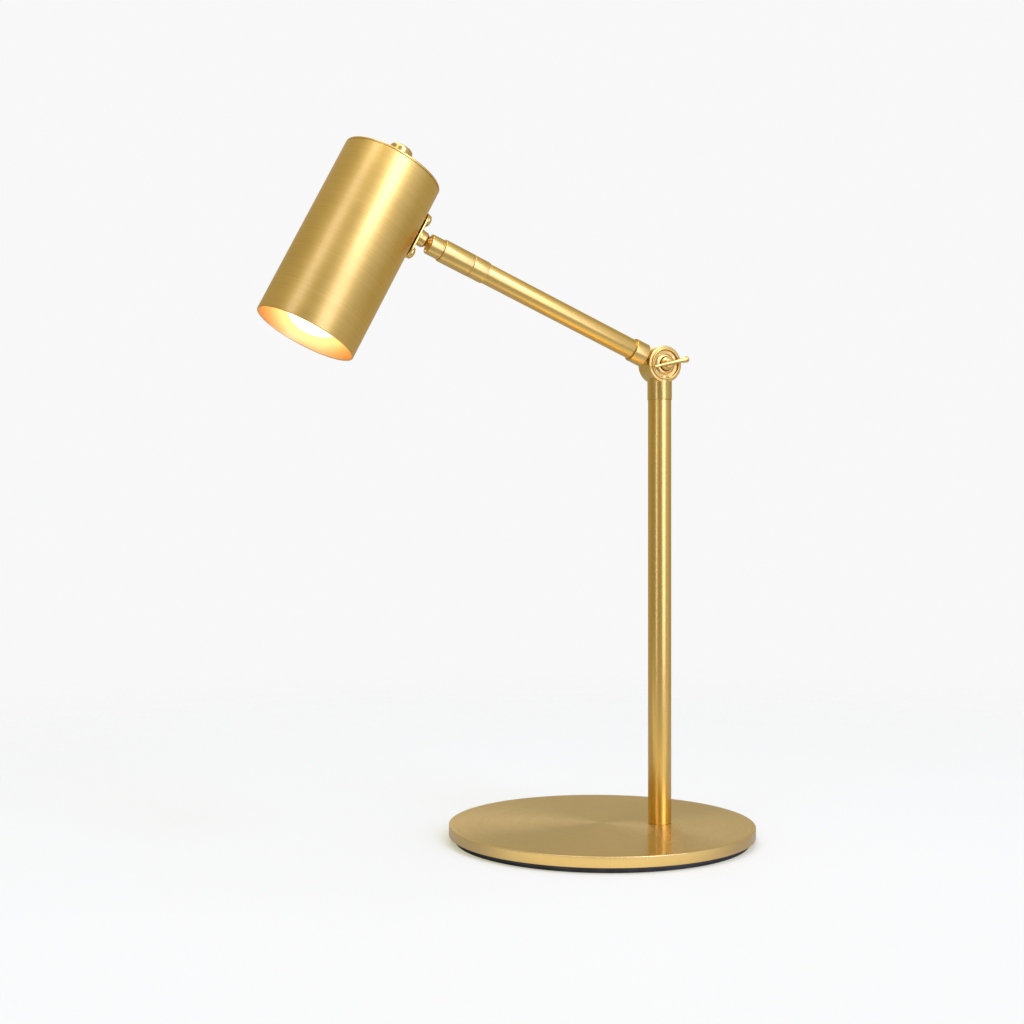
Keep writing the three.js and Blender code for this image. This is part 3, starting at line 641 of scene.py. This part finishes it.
def makeKnuckle():
    face = drum["front"]
    housing = spin("knuckleHousing", [
        [0, drum["split"]], [drum["radius"], drum["split"], 0.25], [drum["radius"], face, 0.6],
        [9.5, face, 0.15], [9.3, face + drum["lip"], 0.3], [8.5, face + drum["lip"], 0.3],
        [8.2, face - 0.5, 0.3], [0, face - 0.5]], drumAxes, 160)
    stem = spin("stem", [
        [0, collar["stemBottom"]], [collar["stem"], collar["stemBottom"], 0.3], [collar["stem"], collar["bottom"]],
        [collar["radius"], collar["bottom"], 0.25], [collar["radius"], collar["top"]], [0, collar["top"]]],
        stemAxes, 128)
    cavity = spin("cavity", [
        [0, drum["split"] - 1], [drum["cavity"], drum["split"] - 1], [drum["cavity"], drum["cavityFront"]],
        [0, drum["cavityFront"]]], drumAxes, 96)
    reach = drum["radius"] + 2
    low = drum["split"] - 1
    slot = block("slot", (drum["slotHalf"], -reach, low), (reach, reach, drum["cavityFront"]), drumAxes)
    endPlace = axes(elbow + forwardStep(drum["armOffset"]) + worldUp * drum["slotHalf"] * mm, swingBack, worldUp)
    ends = spin("slotEnds", [[0, -reach], [drum["slotHalf"], -reach], [drum["slotHalf"], reach], [0, reach]],
                endPlace, 48)
    behind = spin("behind", [[0, -16], [drum["radius"] + 0.2, -16], [drum["radius"] + 0.2, drum["split"]],
                             [0, drum["split"]]], drumAxes, 160)
    hole = spin("screwHole", [[0, 0], [drum["clearHole"], 0], [drum["clearHole"], 12], [0, 12]], drumAxes, 48)
    carve(housing, drumAxes, joinWith=[stem], cutWith=[cavity, slot, ends, behind, hole])
    keep(housing, "drumBrass", "knuckle", "turned_brass", "knuckle_housing")
    back = spin("knuckleBackPlate", [
        [2.56, drum["back"], 0.1], [drum["radius"], drum["back"], 0.9], [drum["radius"], drum["split"] - 0.15, 0.3],
        [2.56, drum["split"] - 0.15]], drumAxes, 160, closedLoop=True)
    keep(back, "drumBrass", "knuckle", "turned_brass", "knuckle_back_plate")
    washer = spin("clampWasher", [
        [drum["clearHole"],
                6.6], [6.2, 6.6, 0.1], [6.2, 7.1, 0.2], [5.5, 7.75, 0.3], [4.6, 7.9, 0.3], [4.0, 7.5, 0.2],
        [drum["clearHole"], 7.5, 0.1]], drumAxes, 96, closedLoop=True)
    keep(washer, "drumBrass", "knuckle", "turned_brass", "clamp_washer")


# wing screw

wing = {"across": 12.6, "rise": math.radians(13.5), "top": 12.5, "saddle": 1.25}


def makeWing():
    screw = spin("wingScrew", [
        [0, -6.6], [2.1, -6.6, 0.1], [2.5, -6.2, 0.1], [2.5, 8.1], [3.9, 8.1, 0.15], [3.9, 9.3, 0.35],
        [2.7, 9.7, 0.3], [2.7, wing["top"], 0.45], [0, wing["top"]]], drumAxes, 96)
    along = -swingBack * math.cos(wing["rise"]) + worldUp * math.sin(wing["rise"])
    place = axes(elbow + forwardStep(wing["across"]), along, front)
    saddle = spin("saddle", [[0, -6], [wing["saddle"], -6], [wing["saddle"], 6], [0, 6]], place, 48)
    keep(carve(screw, drumAxes, cutWith=[saddle]), "drumBrass", "wing", "turned_brass", "wing_screw")
    bar = spin("wingBar", [
        [0, -10.9], [0.85, -10.8, 0.5], [0.95, -5], [1.05, 2], [1.3, 8, 2], [1.8, 10.4, 0.8], [1.8, 12.7, 0.7],
        [0, 12.7]], place, 64)
    keep(bar, "drumBrass", "wing", "turned_brass", "wing_bar")


# arm, sleeve and nose

arm = {"radius": 6.0, "wall": 0.9, "collar": 7.05, "collarStart": 13.0, "collarEnd": 21.8, "tubeEnd": 130.0}


def makeArm(tubeWall):
    spigot = arm["radius"] - arm["wall"] - gap
    tongue = spin("elbowTongue", [
        [0, 7], [2, 7], [2, arm["collarStart"], 0.4], [arm["collar"], arm["collarStart"], 0.45],
        [arm["collar"], arm["collarEnd"], 0.35], [spigot, arm["collarEnd"]], [spigot, 34], [0, 34]], armAxes, 128)
    eye = spin("eye", [[drum["clearHole"], -0.6], [7.8, -0.6, 0.3], [7.8, 4.3, 0.3], [drum["clearHole"],
            4.3]], eyeAxes, 96, closedLoop=True)
    keep(carve(tongue, armAxes, joinWith=[eye]), "sleeveBrass", "arm", "turned_brass", "elbow_tongue")
    tube = grow("armTube", tubeWall, {
        "Radius": arm["radius"] * mm, "Wall": arm["wall"] * mm, "Bottom": (arm["collarEnd"] + gap) * mm,
        "Top": arm["tubeEnd"] * mm, "Edge": 0.15 * mm, "Sides": 128}, armAxes)
    keep(tube, "armBrass", "arm", "brushed_brass", "arm_tube")
    ferrule = spin("armFerrule", [
        [6.06, 124.8], [6.5, 124.8, 0.2], [6.5, 134.5, 0.25], [3.9, 134.5], [3.9, 140], [2, 140], [2, 130.1],
        [6.06, 130.1]], armAxes, 128, closedLoop=True)
    keep(ferrule, "sleeveBrass", "arm", "turned_brass", "arm_ferrule")


def makeSleeve(wireCoil):
    sleeve = spin("swivelSleeve", [
        [4.02, 134.6], [6.6, 134.6, 0.25], [6.6, 153.7, 0.25], [5.4, 153.7], [5.4, 136.6], [4.02, 136.6]],
        armAxes, 128, closedLoop=True)
    keep(sleeve, "sleeveBrass", "sleeve", "turned_brass", "swivel_sleeve")
    nose = spin("socketNose", [
        [4.35, 144.5], [5.34, 144.5], [5.34, 153.76], [5.9, 153.76, 0.15], [5.9, 162, 1.1], [4.9, 162, 0.1],
        [3.96, 161, 0.1], [4.2, 160.4], [4.35, 159.2]], armAxes, 128, closedLoop=True)
    keep(nose, "sleeveBrass", "sleeve", "turned_brass", "socket_nose")
    spring = grow("seatSpring", wireCoil, {
        "Radius": 3.2 * mm, "Height": 2.76 * mm, "Turns": 3.0, "Wire": 0.32 * mm},
        armAxes @ Matrix.Translation((0, 0, 146.82 * mm)))
    keep(spring, "zincSteel", "sleeve", "zinc_steel", "seat_spring")


# ball and bracket

bracket = {"inside": 29.35, "thickness": 1.2, "length": 28.5, "width": 12.0, "screwSpacing": 20.8}


def sphereArc(radius, centre, start, stop, steps):  # part of a ball's outline, from its underside up
    arc = []
    for k in range(steps + 1):
        angle = start + (stop - start) * k / steps
        arc.append([radius * math.sin(angle), centre - radius * math.cos(angle)])
    return arc


def makeBall():
    radius, neck, bore = 4.2, 2.1, 1.2
    start = math.asin(bore / radius)
    stop = math.pi - math.asin(neck / radius)
    arc = sphereArc(radius, 0, start, stop, 28)
    stud = spin("ballStud", [*arc, [neck, 17.5], [bore, 17.5]], ballAxes, 96, closedLoop=True)
    keep(stud, "headBrass", "ball", "turned_brass", "ball_stud")


def makePlate():
    half = bracket["width"] / 2
    straight = bracket["length"] / 2 - half
    build = bmesh.new()
    corners = []
    for end in (1, -1):
        for k in range(33):
            angle = math.pi * k / 32 - math.pi / 2 + (0 if end > 0 else math.pi)
            x = end * straight + half * math.cos(angle)
            corners.append(build.verts.new((x * mm, half * math.sin(angle) * mm, bracket["inside"] * mm)))
    face = build.faces.new(corners)
    grown = bmesh.ops.extrude_face_region(build, geom=[face])
    raised = [item for item in grown["geom"] if isinstance(item, bmesh.types.BMVert)]
    bmesh.ops.translate(build, vec=(0, 0, bracket["thickness"] * mm), verts=raised)
    rims = [edge for edge in build.edges if abs(edge.verts[0].co.z - edge.verts[1].co.z) < 1e-9]
    bmesh.ops.bevel(build, geom=rims, offset=0.2 * mm, segments=3, profile=0.5, affect="EDGES")
    bmesh.ops.recalc_face_normals(build, faces=build.faces)
    mesh = bpy.data.meshes.new("bracketPlate")
    build.to_mesh(mesh)
    build.free()
    mesh.transform(bracketAxes)
    wrapUv(mesh, bracketAxes)
    smooth(mesh)
    keep(newPiece("bracketPlate", mesh), "headBrass", "head", "turned_brass", "bracket_plate")


def makeBracket(screwRow):
    outside = bracket["inside"] + bracket["thickness"]
    makePlate()
    boss = spin("bracketBoss", [
        [2.22, outside + gap], [4.9, outside + gap, 0.15], [4.9, outside + 1.45, 0.3], [4.6, outside + 1.5, 0.1],
        [4.6, 34.8, 1.0], [3.7, 36.1, 0.6], [2.6, 36.9, 0.3], [2.22, 37]], bracketAxes, 96, closedLoop=True)
    keep(boss, "headBrass", "head", "turned_brass", "bracket_boss")
    screw = spin("screwShape", [
        [0, 24.2], [1.7, 24.2, 0.2], [1.7, outside + gap], [3.6, outside + gap, 0.15], [3.6, outside + 1.7, 1.2],
        [1.8, outside + 2.7, 0.8], [0, outside + 2.75]], baseAxes, 64)
    slot = block("screwSlot", (-4, -0.45, outside + 1.8), (4, 0.45, outside + 4), baseAxes)
    carve(screw, baseAxes, cutWith=[slot])
    step = bracket["screwSpacing"] * mm
    screws = grow("bracketScrews", screwRow, {"Count": 2, "Spacing": (step, 0, 0), "Start": (-step / 2, 0, 0)},
                  bracketAxes, screw.data)
    bpy.data.objects.remove(screw)
    keep(screws, "headBrass", "head", "turned_brass", "bracket_screw_upper", "bracket_screw_lower")


# shade, bulb and switch

shade = {"radius": 29.0, "wall": 1.0, "bottom": -81.7, "top": 26.0, "cap": 1.2, "bulb": 22.5, "bulbInset": 1.6}


def makeShade(tubeWall):
    under = shade["top"] - shade["cap"]
    tube = grow("shadeTube", tubeWall, {
        "Radius": shade["radius"] * mm, "Wall": shade["wall"] * mm, "Bottom": shade["bottom"] * mm,
        "Top": (under - gap) * mm, "Edge": 0.4 * mm, "Sides": 256}, headAxes)
    keep(tube, "shadeBrass", "head", "brushed_brass", "shade_tube")
    inner = shade["radius"] - shade["wall"] - gap
    cap = spin("shadeCap", [
        [5.1, under - 1.8], [inner, under - 1.8], [inner, under], [shade["radius"], under, 0.12],
        [shade["radius"], shade["top"], 0.35], [20, shade["top"]], [12, shade["top"]], [5.1, shade["top"], 0.1]],
        headAxes, 256, closedLoop=True)
    keep(cap, "shadeBrass", "head", "brushed_brass", "shade_cap")
    ring = spin("holderNut", [[5.06, 26.06], [6.2, 26.06, 0.15], [6.2, 27.7, 0.4], [5.06, 27.7, 0.15]],
                headAxes, 96, closedLoop=True)
    keep(ring, "headBrass", "head", "turned_brass", "holder_nut")


def makeBulb():
    radius, neck = shade["bulb"], 8.6
    centre = shade["bottom"] + shade["bulbInset"] + radius
    last = math.pi - math.asin(neck / radius)
    arc = sphereArc(radius, centre, 0, last, 40)
    glass = spin("bulbGlass", [*arc, [8.2, -28.5, 1], [6.6, -18.6], [0, -18.6]], headAxes, 128)
    keep(glass, "opalGlass", "head", "opal_glass", "bulb_glass")


def makeSwitch():
    top = shade["top"] + 13
    knob = spin("switchKnob", [
        [0, top - 1.6], [1.7, top - 1.6], [1.7, 30.8], [6.3, 30.8, 0.2], [6.75, 31.3, 0.3], [6.75, top - 0.5, 2.4],
        [2.6, top - 0.1, 2], [0, top]], headAxes, 128)
    keep(knob, "headBrass", "switch", "turned_brass", "switch_knob")


tubeWall, screwRow, wireCoil = tubeWallTree(), rowTree(), coilTree()
makeBase()
makePost(tubeWall)
makeKnuckle()
makeWing()
print("base, post and knuckle made")
makeArm(tubeWall)
makeSleeve(wireCoil)
makeBall()
makeBracket(screwRow)
makeShade(tubeWall)
makeBulb()
makeSwitch()
print("arm and head made")


# inner pieces that keep their CAD shape

slotFinish = {"turned_brass": "drumBrass", "zinc_steel": "zincSteel", "phenolic_black": "phenolic",
              "nylon_white": "nylon", "lead_sheath": "leadSheath", "nickel": "nickel", "foot_rubber": "footRubber",
              "cast_iron_black": "blackIron", "brushed_brass": "postBrass", "opal_glass": "opalGlass"}


def paintInner():
    slots = {part["node"]: part["material_slot"] for part in frame["record"]["subparts"]}
    for name, node in frame["nodes"].items():
        node.data.materials.clear()
        node.data.materials.append(finishes[slotFinish[slots[name]]])


paintInner()


# floor, light and camera

studio = {"seen": 0.94, "frontLow": 0.32, "frontHigh": 0.46, "back": 0.48, "tint": (1.0, 0.98, 0.80),
          "floorNear": 0.30, "floorFar": 1.1, "floorTone": 0.46, "floorGlow": 0.43, "floorTint": (1.0, 0.96, 0.62),
          "floorFront": 0.62, "frontBand": (-0.13, 0.05, 0.08)}
softBoxes = {  # degrees: azimuth 0 is in front, 90 to the right; soft is the width of the faded edge
    "leftHigh": {"azimuth": -32, "half": 11, "rise": 48, "tall": 24, "soft": 8, "strength": 1.5},
    "leftLow": {"azimuth": -35, "half": 4, "rise": -2, "tall": 24, "soft": 6, "strength": 2.2},
    "rightHigh": {"azimuth": 40, "half": 13, "rise": 42, "tall": 26, "soft": 8, "strength": 4.4},
    "rightLow": {"azimuth": 37, "half": 13, "rise": -2, "tall": 20, "soft": 9, "strength": 2.1},
    "sideBox": {"azimuth": 75, "half": 20, "rise": 25, "tall": 40, "soft": 20, "strength": 0.3},
    "backHigh": {"azimuth": -168, "half": 14, "rise": 55, "tall": 18, "soft": 20, "strength": 1.6},
    "overhead": {"azimuth": 0, "half": 180, "rise": 90, "tall": 20, "soft": 20, "strength": 0.6},
}
boxColour = (0.88, 1.0, 1.85)


def faded(tree, value, centre, half, soft):  # 1 within half of the centre, 0 beyond, with a soft edge
    off = math2(tree, "ABSOLUTE", math2(tree, "SUBTRACT", value, float(centre)), 0.0)
    node = addNode(tree, "ShaderNodeMapRange", interpolation_type="SMOOTHSTEP")
    tree.links.new(off, node.inputs["Value"])
    node.inputs["From Min"].default_value = half + soft / 2
    node.inputs["From Max"].default_value = half - soft / 2
    return node.outputs["Result"]


def makeFloor():
    build = bmesh.new()
    bmesh.ops.create_circle(build, cap_ends=True, segments=96, radius=studio["floorFar"])
    mesh = bpy.data.meshes.new("floor")
    build.to_mesh(mesh)
    build.free()
    floor = newPiece("floor", mesh)
    material, tree, shader = newMaterial("paleFloor")
    shader.inputs["Base Color"].default_value = (studio["floorTone"],) * 3 + (1,)
    shader.inputs["Roughness"].default_value = 0.9
    shader.inputs["Specular IOR Level"].default_value = 0.1
    shader.inputs["Emission Color"].default_value = (*studio["floorTint"], 1)
    source = addNode(tree, "ShaderNodeTexCoord")
    reach = addNode(tree, "ShaderNodeVectorMath", operation="LENGTH")
    tree.links.new(source.outputs["Object"], reach.inputs[0])
    fade = addNode(tree, "ShaderNodeMapRange", interpolation_type="SMOOTHSTEP")
    tree.links.new(reach.outputs["Value"], fade.inputs["Value"])
    fade.inputs["From Min"].default_value = studio["floorNear"]
    fade.inputs["From Max"].default_value = studio["floorFar"] * 0.95
    path = addNode(tree, "ShaderNodeLightPath")
    place = addNode(tree, "ShaderNodeSeparateXYZ")
    tree.links.new(source.outputs["Object"], place.inputs[0])
    unseen = math2(tree, "MULTIPLY", faded(tree, place.outputs["Y"], *studio["frontBand"]), studio["floorFront"])
    glow = spread(tree, path.outputs["Is Camera Ray"], 0.0, 1.0, unseen, studio["floorGlow"])
    tree.links.new(glow, shader.inputs["Emission Strength"])
    clear = addNode(tree, "ShaderNodeBsdfTransparent")
    mix = addNode(tree, "ShaderNodeMixShader")
    tree.links.new(fade.outputs["Result"], mix.inputs[0])
    tree.links.new(shader.outputs[0], mix.inputs[1])
    tree.links.new(clear.outputs[0], mix.inputs[2])
    tree.links.new(mix.outputs[0], tree.nodes["Material Output"].inputs["Surface"])
    mesh.materials.append(material)


def makeWorld():
    world = bpy.data.worlds.new("studio")
    bpy.context.scene.world = world
    world.use_nodes = True
    tree = world.node_tree
    tree.nodes.clear()
    source = addNode(tree, "ShaderNodeTexCoord")
    split = addNode(tree, "ShaderNodeSeparateXYZ")
    tree.links.new(source.outputs["Generated"], split.inputs[0])
    forward = math2(tree, "MULTIPLY", split.outputs["Y"], -1.0)
    azimuth = math2(tree, "MULTIPLY", math2(tree, "ARCTAN2", split.outputs["X"], forward), 180 / math.pi)
    rise = math2(tree, "MULTIPLY", math2(tree, "ARCSINE", split.outputs["Z"], 0.0), 180 / math.pi)
    inFront = spread(tree, rise, 0.0, 35.0, studio["frontLow"], studio["frontHigh"])
    surround = spread(tree, split.outputs["Y"], -0.3, 0.6, inFront, studio["back"])
    total = None
    for box in softBoxes.values():
        across = faded(tree, azimuth, box["azimuth"], box["half"], box["soft"])
        upward = faded(tree, rise, box["rise"], box["tall"], box["soft"])
        amount = math2(tree, "MULTIPLY", math2(tree, "MULTIPLY", across, upward), box["strength"])
        total = amount if total is None else math2(tree, "ADD", total, amount)
    seen = addNode(tree, "ShaderNodeBackground")
    seen.inputs["Color"].default_value = (studio["seen"],) * 3 + (1,)
    around = addNode(tree, "ShaderNodeBackground")
    around.inputs["Color"].default_value = (*studio["tint"], 1)
    tree.links.new(surround, around.inputs["Strength"])
    boxes = addNode(tree, "ShaderNodeBackground")
    boxes.inputs["Color"].default_value = (*boxColour, 1)
    tree.links.new(total, boxes.inputs["Strength"])
    both = addNode(tree, "ShaderNodeAddShader")
    tree.links.new(around.outputs[0], both.inputs[0])
    tree.links.new(boxes.outputs[0], both.inputs[1])
    path = addNode(tree, "ShaderNodeLightPath")
    mix = addNode(tree, "ShaderNodeMixShader")
    leave = addNode(tree, "ShaderNodeOutputWorld")
    tree.links.new(path.outputs["Is Camera Ray"], mix.inputs[0])
    tree.links.new(both.outputs[0], mix.inputs[1])
    tree.links.new(seen.outputs[0], mix.inputs[2])
    tree.links.new(mix.outputs[0], leave.inputs["Surface"])


def makeLights():  # one soft lamp above gives the lamp its contact shadow
    top = {"size": 0.9, "power": 5.0, "place": (0.0, -0.25, 1.3)}
    data = bpy.data.lights.new("topLight", "AREA")
    data.size = top["size"]
    data.energy = top["power"]
    light = newPiece("topLight", data)
    light.location = top["place"]


def makeCamera():
    view = {"place": (-0.054, -0.926, 0.197), "lens": 54}
    data = bpy.data.cameras.new("camera")
    data.lens = view["lens"]
    data.sensor_width = 36
    data.clip_start = 0.01
    camera = newPiece("camera", data)
    camera.location = view["place"]
    camera.rotation_euler = (math.pi / 2, 0, 0)
    bpy.context.scene.camera = camera


makeFloor()
makeWorld()
makeLights()
makeCamera()
bpy.context.scene.view_settings.view_transform = "Standard"
print("floor, light and camera made")
